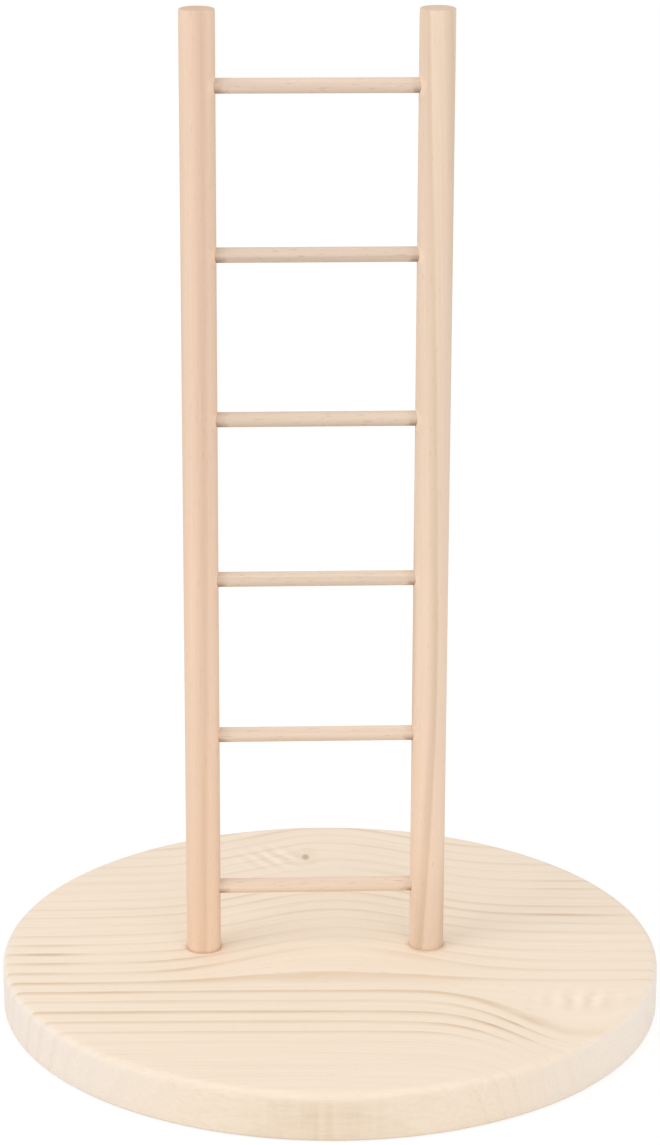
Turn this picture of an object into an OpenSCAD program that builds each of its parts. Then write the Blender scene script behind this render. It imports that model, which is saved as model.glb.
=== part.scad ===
// Bird ladder: a round pine board that carries two round uprights with a flight of thin round rungs.
// The origin is the centre of the board's underside. +Z is up, the rungs run along X and -Y is the front.
// Each upright stands in a blind socket in the board, and each rung's ends sit in blind bores in the
// uprights. All these joints are glued round tenons, so nothing moves and there are no fasteners.

/* [Board] */
// Diameter of the round board
base_d = 240; // [200:1:300]
// Thickness of the board
base_t = 18; // [15:0.5:25]
// Radius of the eased edge round the top face
base_top_round = 2.5; // [0.5:0.25:5]
// Radius of the eased edge round the underside
base_foot_round = 1.25; // [0.5:0.25:5]

/* [Uprights] */
// Diameter of an upright
rail_d = 12.5; // [11:0.25:16]
// Distance between the centre lines of the two uprights
rail_spacing = 82; // [60:1:120]
// Length of an upright above the centre line of the highest rung
rail_tip = 26.5; // [10:0.5:60]
// Radius of the eased arris round an upright's top end
rail_top_round = 0.6; // [0.2:0.1:2]
// Chamfer round an upright's foot, which starts it in its socket
rail_foot_chamfer = 0.8; // [0.2:0.1:2]

/* [Rungs] */
// Number of rungs
rung_count = 6; // [2:1:8]
// Diameter of a rung
rung_d = 5.4; // [4:0.1:7]
// Distance between the centre lines of neighbouring rungs
rung_pitch = 59; // [30:1:90]
// Height of the lowest rung's centre line above the board
first_rung_h = 24.3; // [10:0.1:80]
// Chamfer round each end of a rung, which starts it in its bore
rung_chamfer = 0.4; // [0.1:0.1:1]

/* [Place on the board] */
// How far the ladder's centre line stands to the right of the board's centre, negative to the left
ladder_x = -5.4; // [-30:0.1:30]
// How far the ladder stands behind the board's centre, negative in front of it
ladder_y = 2.8; // [-30:0.1:30]

/* [Glued joints] */
// Depth that an upright is let into the board
socket_depth = 12; // [6:0.5:13]
// Clearance all round an upright in its socket
socket_clearance = 0.1; // [0.05:0.05:0.3]
// Depth that a rung is let into an upright, from the upright's inner side
bore_depth = 8; // [4:0.25:8.5]
// Clearance all round a rung in its bore
bore_clearance = 0.05; // [0.01:0.01:0.2]
// Room for glue between a rung's end and the shoulder of the drill's point
glue_gap = 0.3; // [0.1:0.1:1]
// Full angle of the drill's point at the bottom of a bore
drill_point_angle = 118; // [90:1:140]

/* [Hidden] */
$fn = 96;
RUNG_NODES = [for (i = [1:rung_count]) str("rung_", i)];

board_colour = [0.95, 0.88, 0.79];
rail_colour = [0.90, 0.79, 0.69];
rung_colour = [0.87, 0.77, 0.68];

LEFT = -1;
RIGHT = 1;

base_r = base_d / 2;
rail_r = rail_d / 2;
rung_r = rung_d / 2;
socket_r = rail_r + socket_clearance;
bore_r = rung_r + bore_clearance;
drill_point_h = bore_r / tan(drill_point_angle / 2);
socket_floor_z = base_t - socket_depth;
rail_top_z = rung_z(rung_count) + rail_tip;
rail_length = rail_top_z - socket_floor_z;
clear_width = rail_spacing - rail_d;
rung_length = clear_width + 2 * (bore_depth - glue_gap);
// Spare length by which a cutter starts outside what it cuts
overshoot = 2;

// Height of the centre line of rung i above the underside, counted from 1 at the bottom
function rung_z(i) = base_t + first_rung_h + (i - 1) * rung_pitch;

// Distance of an upright's centre line from the board's centre along X
function rail_x(side) = ladder_x + side * rail_spacing / 2;

// What a round of radius r takes off a square corner that points to +X and +Y
module corner_waste(r) {
    difference() {
        square(r);
        circle(r);
    }
}

// Half section of the board, from its centre line out to its rim
module base_section() {
    difference() {
        square([base_r, base_t]);
        translate([base_r - base_top_round, base_t - base_top_round])
            corner_waste(base_top_round);
        translate([base_r - base_foot_round, base_foot_round])
            mirror([0, 1])
                corner_waste(base_foot_round);
    }
}

// Half section of an upright, standing on its chamfered foot
module rail_section() {
    difference() {
        square([rail_r, rail_length]);
        translate([rail_r - rail_top_round, rail_length - rail_top_round])
            corner_waste(rail_top_round);
        translate([rail_r, 0])
            polygon([[-rail_foot_chamfer, 0], [0, 0], [0, rail_foot_chamfer]]);
    }
}

// Half section of a rung with both ends chamfered
module rung_section() {
    polygon([
        [0, 0],
        [rung_r - rung_chamfer, 0],
        [rung_r, rung_chamfer],
        [rung_r, rung_length - rung_chamfer],
        [rung_r - rung_chamfer, rung_length],
        [0, rung_length]
    ]);
}

// Drilled blind bore that enters along -Z with its mouth at the origin and ends in a drill's point
module drilled_bore(depth) {
    translate([0, 0, -depth])
        cylinder(r = bore_r, h = depth + overshoot);
    translate([0, 0, -depth - drill_point_h])
        cylinder(r1 = 0, r2 = bore_r, h = drill_point_h);
}

// Flat-floored socket for the upright on one side of the board
module socket(side) {
    translate([rail_x(side), ladder_y, socket_floor_z])
        cylinder(r = socket_r, h = socket_depth + overshoot);
}

// One upright, bored for a rung's end at each rung's height on the side that faces its twin
module rail(side) {
    translate([rail_x(side), ladder_y, 0])
        difference() {
            translate([0, 0, socket_floor_z])
                rotate_extrude()
                    rail_section();
            for (i = [1:rung_count])
                translate([-side * rail_r, 0, rung_z(i)])
                    rotate([0, -side * 90, 0])
                        drilled_bore(bore_depth);
        }
}

// Round board with eased edges and a socket for each upright
module base() {
    color(board_colour)
        difference() {
            rotate_extrude()
                base_section();
            for (side = [LEFT, RIGHT])
                socket(side);
        }
}

// Upright on the left, seen from the front
module rail_left() {
    color(rail_colour)
        rail(LEFT);
}

// Upright on the right, seen from the front
module rail_right() {
    color(rail_colour)
        rail(RIGHT);
}

// Rung i, let into both uprights
module rung(i) {
    color(rung_colour)
        translate([ladder_x - rung_length / 2, ladder_y, rung_z(i)])
            rotate([0, 90, 0])
                rotate_extrude()
                    rung_section();
}

base();
rail_left();
rail_right();
for (i = [1:rung_count])
    rung(i);
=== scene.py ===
"""Looks for a bird ladder: a round pine board, two round uprights and a flight of thin round rungs.

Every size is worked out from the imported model. Shapes are in metres, and the wood's grain is in millimetres.
"""

import logging
import math
from collections.abc import Iterable
from dataclasses import dataclass, field, replace
from enum import Enum

import bpy
from mathutils import Euler, Matrix, Vector


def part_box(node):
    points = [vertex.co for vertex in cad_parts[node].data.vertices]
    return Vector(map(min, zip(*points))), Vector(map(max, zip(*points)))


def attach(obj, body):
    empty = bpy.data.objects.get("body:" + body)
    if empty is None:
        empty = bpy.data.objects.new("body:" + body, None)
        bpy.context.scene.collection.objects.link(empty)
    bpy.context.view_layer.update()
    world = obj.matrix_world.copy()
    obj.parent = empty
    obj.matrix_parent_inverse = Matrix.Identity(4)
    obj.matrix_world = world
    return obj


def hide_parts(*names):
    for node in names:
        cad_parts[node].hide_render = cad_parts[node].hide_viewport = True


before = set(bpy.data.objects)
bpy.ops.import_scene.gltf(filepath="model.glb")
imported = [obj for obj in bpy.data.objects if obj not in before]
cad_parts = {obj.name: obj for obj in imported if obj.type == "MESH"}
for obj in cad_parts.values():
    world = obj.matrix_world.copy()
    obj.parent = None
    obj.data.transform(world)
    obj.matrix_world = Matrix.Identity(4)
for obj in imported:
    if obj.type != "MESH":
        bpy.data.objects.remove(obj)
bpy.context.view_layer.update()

log = logging.getLogger("bird_ladder")

MM = 0.001
MICROMETRE = 1e-6
PER_METRE = 1000.0
QUARTER_TURN = math.radians(90)
ROOT_BODY = "root"
TONE_ATTRIBUTE = "tone"
DRAW_SEED = 5013

Colour = tuple[float, float, float, float]
Pair = tuple[float, float]
Span = tuple[float, float]
Triple = tuple[float, float, float]

WHITE: Colour = (1.0, 1.0, 1.0, 1.0)


def srgb(red: int, green: int, blue: int) -> Colour:
    """Turns a colour as it shows on a screen into the linear values that a shader reads.

    Args:
        red: Red, from 0 to 255.
        green: Green, from 0 to 255.
        blue: Blue, from 0 to 255.

    Returns:
        The linear colour with an alpha of 1.
    """
    shares = (channel / 255 for channel in (red, green, blue))
    linear = (s / 12.92 if s <= 0.04045 else ((s + 0.055) / 1.055) ** 2.4 for s in shares)
    return (*linear, 1.0)


class Slot(Enum):
    """The record's material slots."""

    BOARD = "board_pine"
    UPRIGHT = "upright_pine"
    RUNG = "rung_wood"


class Side(Enum):
    """The two sides of the ladder as seen from the front, with the sign of X on each."""

    LEFT = -1
    RIGHT = 1

    @property
    def label(self) -> str:
        """The side's name in lower case, as the nodes have it."""
        return self.name.lower()

    @property
    def rail(self) -> str:
        """The node of the upright on this side."""
        return f"rail_{self.label}"


class FibreAxis(Enum):
    """The axis that a piece's fibres follow, with the turn in degrees that lays it along X."""

    ALONG_X = (0.0, 0.0, 0.0)
    ALONG_Z = (0.0, 90.0, 0.0)

    @property
    def direction(self) -> Triple:
        """The unit vector that the fibres follow in the row frame."""
        return (1.0, 0.0, 0.0) if self is FibreAxis.ALONG_X else (0.0, 0.0, 1.0)


class TreeKind(Enum):
    """The two kinds of node tree, with the node that places a group in each."""

    GEOMETRY = ("GeometryNodeTree", "GeometryNodeGroup")
    SHADER = ("ShaderNodeTree", "ShaderNodeGroup")


class Kind(Enum):
    """The kinds of socket that the groups have."""

    VALUE = "NodeSocketFloat"
    COUNT = "NodeSocketInt"
    VECTOR = "NodeSocketVector"
    COLOUR = "NodeSocketColor"
    GEOMETRY = "NodeSocketGeometry"
    MATERIAL = "NodeSocketMaterial"

    @classmethod
    def of(cls, default: "Default") -> "Kind":
        """Tells the kind of socket that suits a default. A kind in the default's place is given back."""
        return {float: cls.VALUE, int: cls.COUNT, tuple: cls.VECTOR}.get(type(default), default)


Default = float | int | Triple | Kind


@dataclass(frozen=True)
class Patch:
    """A soft-edged patch on a surface, with its middle and its reach along and across, in millimetres.

    The strength is what the patch does at its middle, to whatever it is a patch of.
    """

    middle: Pair
    size: Pair
    strength: float = 1.0


@dataclass(frozen=True)
class Wire:
    """The output of a node. Arithmetic on it adds the nodes that do the sum."""

    tree: "Tree"
    socket: bpy.types.NodeSocket

    def __add__(self, other: "Feed") -> "Wire":
        """Adds a Math node that gives the sum."""
        return self.tree.math("ADD", self, other)

    def __sub__(self, other: "Feed") -> "Wire":
        """Adds a Math node that gives the difference."""
        return self.tree.math("SUBTRACT", self, other)

    def __rsub__(self, other: float) -> "Wire":
        """Adds a Math node that takes this value from a plain number."""
        return self.tree.math("SUBTRACT", other, self)

    def __mul__(self, other: "Feed") -> "Wire":
        """Adds a Math node that gives the product."""
        return self.tree.math("MULTIPLY", self, other)

    def __truediv__(self, other: "Feed") -> "Wire":
        """Adds a Math node that gives the quotient."""
        return self.tree.math("DIVIDE", self, other)

    def __neg__(self) -> "Wire":
        """Adds a Math node that turns the sign."""
        return self.tree.math("MULTIPLY", self, -1.0)


Feed = Wire | float | int | bool | str | tuple | bpy.types.ID
Feeds = dict[str | int, Feed]


class Tree:
    """Adds nodes to a node tree and wires each one as it is made."""

    COLUMN_WIDTH = 220.0
    ROW_HEIGHT = 190.0

    def __init__(self, data: bpy.types.NodeTree, kind: TreeKind) -> None:
        """Wraps a tree.

        Args:
            data: The node tree to add to.
            kind: Whether it is a geometry or a shader tree.
        """
        self.data = data
        self.kind = kind

    def node(self, kind: str, feeds: Feeds | None = None, **settings: object) -> bpy.types.Node:
        """Adds a node.

        Args:
            kind: The node's type.
            feeds: The value or wire for each input, by the input's name or place.
            settings: The node's own settings.

        Returns:
            The new node.
        """
        made = self.data.nodes.new(kind)
        for name, value in settings.items():
            setattr(made, name, value)
        for key, value in (feeds or {}).items():
            socket = self._socket(made.inputs, key)
            if isinstance(value, Wire):
                self.data.links.new(value.socket, socket)
            else:
                socket.default_value = value
        return made

    def out(self, node: bpy.types.Node, key: str | int = 0) -> Wire:
        """Picks one of a node's outputs, by its name or place."""
        return Wire(self, self._socket(node.outputs, key))

    def wire(self, kind: str, feeds: Feeds | None = None, output: str | int = 0, **settings: object) -> Wire:
        """Adds a node and picks one of its outputs.

        Args:
            kind: The node's type.
            feeds: The value or wire for each input, by the input's name or place.
            output: The output's name or place.
            settings: The node's own settings.

        Returns:
            The wire from that output.
        """
        return self.out(self.node(kind, feeds, **settings), output)

    def place(self, group: "Group", feeds: Feeds, spec: object = None) -> dict[str, Wire]:
        """Places a group in this tree.

        Args:
            group: The group.
            feeds: The value or wire for each of its inputs.
            spec: Fills the inputs that are named like its attributes and that the feeds leave out.

        Returns:
            The group's outputs by name.
        """
        made = self.node(self.kind.value[1], group.filled_by(spec) | feeds, node_tree=group.data)
        return {socket.name: Wire(self, socket) for socket in made.outputs}

    def math(self, operation: str, *values: Feed) -> Wire:
        """Adds a Math node that works on numbers or wires, in order."""
        return self.wire("ShaderNodeMath", dict(enumerate(values)), operation=operation)

    def scaled(self, vector: Wire, by: Feed) -> Wire:
        """Multiplies a vector by another, component by component."""
        return self.wire("ShaderNodeVectorMath", {0: vector, 1: by}, operation="MULTIPLY")

    def dot(self, vector: Wire, other: Feed) -> Wire:
        """Gives the dot product of two vectors."""
        return self.wire("ShaderNodeVectorMath", {0: vector, 1: other}, "Value", operation="DOT_PRODUCT")

    def equal(self, value: Wire, to: Feed) -> Wire:
        """Gives 1 where a value is within a micrometre of another, and 0 elsewhere."""
        return self.math("COMPARE", value, to, MICROMETRE)

    def length(self, x: Wire, y: Feed) -> Wire:
        """Gives the length of a vector from its two components."""
        return self.math("SQRT", x * x + y * y)

    def past_nearest(self, value: Wire, pitch: Feed) -> Wire:
        """Gives how far a value is past the nearest multiple of a pitch."""
        steps = value / pitch
        return (steps - self.math("ROUND", steps)) * pitch

    def smooth(self, value: Wire, low: Feed, high: Feed) -> Wire:
        """Gives a smooth step from 0 at the low value to 1 at the high one."""
        feeds = {"Value": value, "From Min": low, "From Max": high}
        return self.wire("ShaderNodeMapRange", feeds, interpolation_type="SMOOTHSTEP")

    def mound(self, x: Wire, y: Wire, patch: Patch) -> Wire:
        """Gives a bell-shaped mask over a patch.

        Args:
            x: The first coordinate.
            y: The second coordinate.
            patch: The patch, at whose reach the mask has fallen to about a third.

        Returns:
            A mask from 0 to 1.
        """
        along = (x - patch.middle[0]) / patch.size[0]
        across = (y - patch.middle[1]) / patch.size[1]
        return self.math("EXPONENT", -(along * along + across * across))

    def split(self, vector: Wire) -> tuple[Wire, Wire, Wire]:
        """Splits a vector into its three components."""
        made = self.node("ShaderNodeSeparateXYZ", {"Vector": vector})
        return self.out(made, "X"), self.out(made, "Y"), self.out(made, "Z")

    def join(self, x: Feed, y: Feed, z: Feed) -> Wire:
        """Joins three values into a vector."""
        return self.wire("ShaderNodeCombineXYZ", {"X": x, "Y": y, "Z": z})

    def noise(self, vector: Wire, detail: float = 2.0) -> Wire:
        """Gives smooth noise of about 0 to 1, with about one feature per unit of the vector."""
        return self.wire("ShaderNodeTexNoise", {"Vector": vector, "Scale": 1.0, "Detail": detail})

    def grain_noise(self, vector: Wire, length: Feed, breadth: Feed, detail: float = 2.0) -> Wire:
        """Gives noise drawn out along the fibres.

        Args:
            vector: The grain vector.
            length: The length of a feature along the fibres.
            breadth: Its breadth across them.
            detail: How many finer layers it has.

        Returns:
            Noise of about 0 to 1.
        """
        across = self.math("DIVIDE", 1.0, breadth)
        along = self.math("DIVIDE", 1.0, length)
        return self.noise(self.scaled(vector, self.join(along, across, across)), detail)

    def blend(self, share: Feed, start: Feed, end: Feed) -> Wire:
        """Blends two colours: the first where the share is 0, the second where it is 1."""
        return self.wire("ShaderNodeMix", {"Factor": share, "A": start, "B": end}, data_type="RGBA")

    def arrange(self) -> None:
        """Lays the nodes out from left to right, by how many nodes each one waits for."""
        columns = {node: 0 for node in self.data.nodes}
        for _ in self.data.nodes:
            late = [link for link in self.data.links if columns[link.to_node] <= columns[link.from_node]]
            if not late:
                break
            for link in late:
                columns[link.to_node] = max(columns[link.to_node], columns[link.from_node] + 1)
        rows: dict[int, int] = {}
        for node, column in columns.items():
            rows[column] = rows.get(column, 0) + 1
            node.location = (column * self.COLUMN_WIDTH, -rows[column] * self.ROW_HEIGHT)

    @staticmethod
    def _socket(sockets: Iterable[bpy.types.NodeSocket], key: str | int) -> bpy.types.NodeSocket:
        """Finds a socket in use by its name, or by its place among those in use."""
        in_use = [socket for socket in sockets if socket.enabled]
        return in_use[key] if isinstance(key, int) else next(s for s in in_use if s.name == key)


class Group(Tree):
    """A node group with named inputs and outputs."""

    def __init__(
        self, name: str, kind: TreeKind, inputs: dict[str, Default], outputs: dict[str, Kind]
    ) -> None:
        """Starts the group.

        Args:
            name: The group's name.
            kind: Whether it is a geometry or a shader group.
            inputs: The default of each input, or its kind where it is always fed.
            outputs: The kind of each output.
        """
        super().__init__(bpy.data.node_groups.new(name, kind.value[0]), kind)
        self.attributes = {port: port.lower().replace(" ", "_") for port in inputs}
        for in_out, ports in (("INPUT", inputs), ("OUTPUT", outputs)):
            for port, default in ports.items():
                kind_of_port = Kind.of(default).value
                socket = self.data.interface.new_socket(port, in_out=in_out, socket_type=kind_of_port)
                if not isinstance(default, Kind):
                    socket.default_value = default
        self.entry = self.data.nodes.new("NodeGroupInput")
        self.exit = self.data.nodes.new("NodeGroupOutput")

    def given(self, name: str) -> Wire:
        """Gives the wire from the group's input of that name."""
        return Wire(self, self.entry.outputs[name])

    def passed(self, *names: str) -> Feeds:
        """Gives the wires from some of the group's inputs, to be passed on under the same names."""
        return {name: self.given(name) for name in names}

    def give(self, wires: dict[str, Wire]) -> None:
        """Wires values to the group's outputs, by name."""
        for name, wire in wires.items():
            self.data.links.new(wire.socket, self.exit.inputs[name])

    def filled_by(self, spec: object) -> Feeds:
        """Gives a spec's value for each input that is named like one of its attributes."""
        found = {port: name for port, name in self.attributes.items() if hasattr(spec, name)}
        return {port: getattr(spec, name) for port, name in found.items()}


class Shapes:
    """The Geometry Nodes trees that the wooden pieces grow from, each built once."""

    CREASE_ANGLE = math.radians(30)
    CORNER_ROOM = 0.1 * MM
    MERGE_DISTANCE = 0.001 * MM
    RUBBED_EASES = 1.6
    SANDING_SCALE = 60.0
    PLAIN_WALL = {"Wall Steps": 2, "Ease Steps": 1}
    DOWEL_SIDES = 64
    SOCKET_SIDES = 96

    def __init__(self) -> None:
        """Builds the trees."""
        self.turned = self._turned_round()
        self.board = self._board()
        self.upright = self._upright()
        self.flight = self._flight()
        for tree in (self.turned, self.board, self.upright, self.flight):
            tree.arrange()

    def _turned_round(self) -> Group:
        """Builds a solid turned about Z that stands on z = 0, with both arrises eased and sanded by hand.

        The half section runs from the middle of the foot, out to the wall, up it and back to the middle.

        Returns:
            The group, whose output is a closed mesh.
        """
        sizes = {"Radius": 0.01, "Length": 0.1, "Foot Ease": 0.0005, "Top Ease": 0.0005, "Sanding": 0.0}
        counts = {"Wall Steps": 8, "Ease Steps": 6, "Sides": 96}
        tree = Group("Turned round", TreeKind.GEOMETRY, sizes | counts, {"Mesh": Kind.GEOMETRY})
        radius, length, steps = tree.given("Radius"), tree.given("Length"), tree.given("Wall Steps")
        foot_ease, top_ease = tree.given("Foot Ease"), tree.given("Top Ease")
        end_points = 2
        index = tree.wire("GeometryNodeInputIndex")
        from_end = tree.math("MINIMUM", index, steps + (2 * end_points - 1) - index)
        inset = tree.math("MAXIMUM", foot_ease, top_ease) * 2.0 + self.CORNER_ROOM
        inwards = radius * tree.equal(from_end, 0.0) + inset * tree.equal(from_end, 1.0)
        up_wall = (index - end_points) / (steps - 1)
        share = tree.math("MINIMUM", tree.math("MAXIMUM", up_wall, 0.0), 1.0)
        points = tree.wire("GeometryNodeMeshLine", {"Count": steps + 2 * end_points})
        corners = tree.join(-inwards, -(length * share), 0.0)
        outline = tree.wire("GeometryNodeSetPosition", {"Geometry": points, "Position": corners})
        line = tree.wire("GeometryNodeMeshToCurve", {"Mesh": outline})
        _, drop, _ = tree.split(tree.wire("GeometryNodeInputPosition"))
        ease = foot_ease * tree.equal(drop, 0.0) + top_ease * tree.equal(drop + length, 0.0)
        easing = {"Curve": line, "Count": tree.given("Ease Steps"), "Radius": ease, "Limit Radius": True}
        eased = tree.wire("GeometryNodeFilletCurve", easing, mode="POLY")
        round_wall = {"Resolution": tree.given("Sides"), "Radius": radius}
        circle = tree.wire("GeometryNodeCurvePrimitiveCircle", round_wall)
        swept = tree.wire("GeometryNodeCurveToMesh", {"Curve": circle, "Profile Curve": eased})
        merging = {"Geometry": swept, "Distance": self.MERGE_DISTANCE}
        closed = tree.wire("GeometryNodeMergeByDistance", merging)
        outwards = tree.wire("GeometryNodeFlipFaces", {"Mesh": closed})
        tree.give({"Mesh": self._sanded(tree, outwards, radius, length)})
        return tree

    def _sanded(self, tree: Group, mesh: Wire, radius: Wire, length: Wire) -> Wire:
        """Rubs the arrises down unevenly, as sandpaper held in the hand does.

        Args:
            tree: The turned solid's tree.
            mesh: The turned solid.
            radius: Its radius.
            length: Its length.

        Returns:
            The mesh with uneven arrises.
        """
        position = tree.wire("GeometryNodeInputPosition")
        across, along, height = tree.split(position)
        reach = tree.length(across, along)
        rubbed: list[Wire] = []
        for ease, gap in (("Foot Ease", height), ("Top Ease", length - height)):
            near = tree.given(ease) * self.RUBBED_EASES
            inner = tree.smooth(radius - reach, 0.0, near)
            rubbed.append((1.0 - tree.smooth(gap, 0.0, near)) * (1.0 - inner))
        uneven = tree.noise(tree.scaled(position, (self.SANDING_SCALE,) * 3))
        depth = tree.given("Sanding") * uneven * (rubbed[0] + rubbed[1])
        inwards = tree.scaled(tree.wire("GeometryNodeInputNormal"), tree.join(-depth, -depth, -depth))
        return tree.wire("GeometryNodeSetPosition", {"Geometry": mesh, "Offset": inwards})

    def _row(self, tree: Group, count: Feed, start: Wire, step: Wire) -> Wire:
        """Lays points in a row, a step apart."""
        return tree.wire("GeometryNodeMeshLine", {"Count": count, "Start Location": start, "Offset": step})

    def _drilled(
        self, tree: Group, body: Wire, hole: Feeds, points: Wire, turn: Wire | None = None
    ) -> Wire:
        """Cuts a row of like round holes with flat floors in a body.

        Args:
            tree: The tree to add to.
            body: The solid to drill.
            hole: The radius, the length and the number of sides of each hole.
            points: A point at the bottom of each hole.
            turn: The turn of each hole, or nothing where they open upwards.

        Returns:
            The drilled solid.
        """
        sharp = {"Foot Ease": 0.0, "Top Ease": 0.0} | self.PLAIN_WALL
        cutter = tree.place(self.turned, hole | sharp)["Mesh"]
        feeds = {"Points": points, "Instance": cutter} | ({"Rotation": turn} if turn else {})
        placed = tree.wire("GeometryNodeInstanceOnPoints", feeds)
        holes = tree.wire("GeometryNodeRealizeInstances", {"Geometry": placed})
        solids = {"Mesh 1": body, "Mesh 2": holes}
        return tree.wire("GeometryNodeMeshBoolean", solids, operation="DIFFERENCE", solver="EXACT")

    def _finished(self, tree: Group, mesh: Wire) -> None:
        """Shades a mesh smooth up to its creases, sets its material and gives it to the tree's output.

        Args:
            tree: The tree to finish.
            mesh: The piece's mesh or instances.
        """
        bend = tree.wire("GeometryNodeInputMeshEdgeAngle", output="Unsigned Angle")
        crease = tree.math("GREATER_THAN", bend, self.CREASE_ANGLE)
        smooth = tree.wire("GeometryNodeSetShadeSmooth", {"Geometry": mesh, "Shade Smooth": True})
        sharp = {"Geometry": smooth, "Selection": crease, "Shade Smooth": False}
        creased = tree.wire("GeometryNodeSetShadeSmooth", sharp, domain="EDGE")
        real = tree.wire("GeometryNodeRealizeInstances", {"Geometry": creased})
        wood = {"Geometry": real, "Material": tree.given("Material")}
        tree.give({"Geometry": tree.wire("GeometryNodeSetMaterial", wood)})

    def _piece(self, name: str, inputs: dict[str, Default]) -> Group:
        """Starts the tree of a piece, which takes a material and gives the finished geometry."""
        everything = inputs | {"Material": Kind.MATERIAL}
        return Group(name, TreeKind.GEOMETRY, everything, {"Geometry": Kind.GEOMETRY})

    def _board(self) -> Group:
        """Builds the round board: a turned disc with a row of flat-floored sockets.

        Returns:
            The piece's tree.
        """
        disc_sizes = {"Radius": 0.12, "Thickness": 0.018, "Foot Ease": 0.00125, "Top Ease": 0.0025}
        sockets = {"Socket Radius": 0.006, "First Socket": (-0.04, 0.0, 0.006), "Socket Spacing": 0.08}
        tree = self._piece("Round board", disc_sizes | {"Sanding": 0.0} | sockets | {"Sides": 256})
        thickness = {"Length": tree.given("Thickness")}
        wall = {"Wall Steps": 5, "Ease Steps": 8}
        handed = tree.passed("Radius", "Foot Ease", "Top Ease", "Sanding", "Sides")
        disc = tree.place(self.turned, handed | thickness | wall)
        step = tree.join(tree.given("Socket Spacing"), 0.0, 0.0)
        row = self._row(tree, len(Side), tree.given("First Socket"), step)
        hole = {"Radius": tree.given("Socket Radius"), "Sides": self.SOCKET_SIDES} | thickness
        self._finished(tree, self._drilled(tree, disc["Mesh"], hole, row))
        return tree

    def _upright(self) -> Group:
        """Builds one upright: a turned dowel with a bore at each rung's height.

        Returns:
            The piece's tree.
        """
        dowel_sizes = {"Foot": (0.0, 0.0, 0.006), "Radius": 0.006, "Length": 0.36, "Foot Ease": 0.0008}
        bores = {"Bore Radius": 0.00275, "Bore Depth": 0.008, "Bore Side": 1.0, "First Bore": 0.0423}
        rest = {"Bore Pitch": 0.059, "Bores": 6, "Wall Steps": 60}
        inputs = dowel_sizes | {"Top Ease": 0.0006, "Sanding": 0.0} | bores | rest
        tree = self._piece("Drilled upright", inputs)
        handed = tree.passed("Radius", "Length", "Foot Ease", "Top Ease", "Sanding", "Wall Steps")
        dowel = tree.place(self.turned, handed)
        standing = {"Geometry": dowel["Mesh"], "Translation": tree.given("Foot")}
        stood = tree.wire("GeometryNodeTransform", standing)
        middle, back, _ = tree.split(tree.given("Foot"))
        radius, bore_side = tree.given("Radius"), tree.given("Bore Side")
        floor = middle + bore_side * (radius - tree.given("Bore Depth"))
        start = tree.join(floor, back, tree.given("First Bore"))
        row = self._row(tree, tree.given("Bores"), start, tree.join(0.0, 0.0, tree.given("Bore Pitch")))
        hole = {"Radius": tree.given("Bore Radius"), "Length": radius * 2.0, "Sides": self.DOWEL_SIDES}
        turn = tree.join(0.0, bore_side * QUARTER_TURN, 0.0)
        self._finished(tree, self._drilled(tree, stood, hole, row, turn))
        return tree

    def _flight(self) -> Group:
        """Builds the flight of rungs: one turned rung laid along X and repeated up the ladder.

        Each rung has its own roll and keeps a random tone, so that no two look the same.

        Returns:
            The piece's tree.
        """
        rung_sizes = {"First End": (-0.05, 0.0, 0.0423), "Radius": 0.0027, "Length": 0.085}
        rest = {"End Ease": 0.0004, "Pitch": 0.059, "Rungs": 6, "Seed": DRAW_SEED}
        tree = self._piece("Flight of rungs", rung_sizes | rest)
        eases = dict.fromkeys(("Foot Ease", "Top Ease"), tree.given("End Ease"))
        counts = {"Wall Steps": 20, "Ease Steps": 3, "Sides": self.DOWEL_SIDES}
        dowel = tree.place(self.turned, tree.passed("Radius", "Length") | eases | counts)
        lying = {"Geometry": dowel["Mesh"], "Rotation": tree.join(0.0, QUARTER_TURN, 0.0)}
        laid = tree.wire("GeometryNodeTransform", lying)
        step = tree.join(0.0, 0.0, tree.given("Pitch"))
        row = self._row(tree, tree.given("Rungs"), tree.given("First End"), step)
        roll = self._drawn(tree, math.tau, tree.given("Seed"))
        tone = self._drawn(tree, 1.0, tree.given("Seed") + 1)
        rolled = {"Points": row, "Instance": laid, "Rotation": tree.join(roll, 0.0, 0.0)}
        placed = tree.wire("GeometryNodeInstanceOnPoints", rolled)
        kept = {"Geometry": placed, "Name": TONE_ATTRIBUTE, "Value": tone}
        toned = tree.wire("GeometryNodeStoreNamedAttribute", kept, data_type="FLOAT", domain="INSTANCE")
        self._finished(tree, toned)
        return tree

    def _drawn(self, tree: Group, most: float, seed: Wire) -> Wire:
        """Draws a random value from 0 to the most for each point."""
        feeds = {"Min": 0.0, "Max": most, "Seed": seed}
        return tree.wire("FunctionNodeRandomValue", feeds, data_type="FLOAT")


def add_object(name: str, data: bpy.types.ID) -> bpy.types.Object:
    """Adds an object to the scene.

    Args:
        name: The object's name.
        data: Its mesh, camera or light.

    Returns:
        The object, at the origin.
    """
    made = bpy.data.objects.new(name, data)
    bpy.context.scene.collection.objects.link(made)
    return made


def cleared_tree(owner: bpy.types.Material | bpy.types.World) -> Tree:
    """Clears the shader that Blender gives a new material or world.

    Args:
        owner: The material or world.

    Returns:
        Its empty tree.
    """
    owner.use_nodes = True
    owner.node_tree.nodes.clear()
    return Tree(owner.node_tree, TreeKind.SHADER)


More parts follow.
